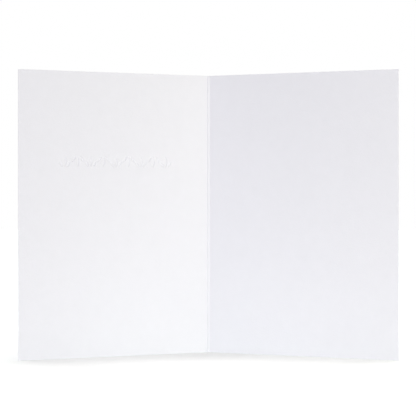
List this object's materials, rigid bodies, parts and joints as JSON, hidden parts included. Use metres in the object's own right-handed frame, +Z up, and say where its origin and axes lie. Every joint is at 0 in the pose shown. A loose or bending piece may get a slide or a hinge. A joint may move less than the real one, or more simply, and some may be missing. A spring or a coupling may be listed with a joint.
{
  "type": "greeting card",
  "caption": "Folded greeting card of plain white board that stands open on its bottom edges, with a creased fold and a blind-embossed row of sprigs on the front leaf.",
  "frame": {"origin": "on the table, in the middle of the open card's V-shaped footprint", "axes": "+Z up along the fold, +X across the open card to the reader's right, +Y from the reader towards the fold"},
  "size_m": [0.2324, 0.0516, 0.1778],
  "materials": {
    "white_board": "matte"
  },
  "bodies": {
    "root": {"folded_card": "white_board"}
  },
  "joints": []
}
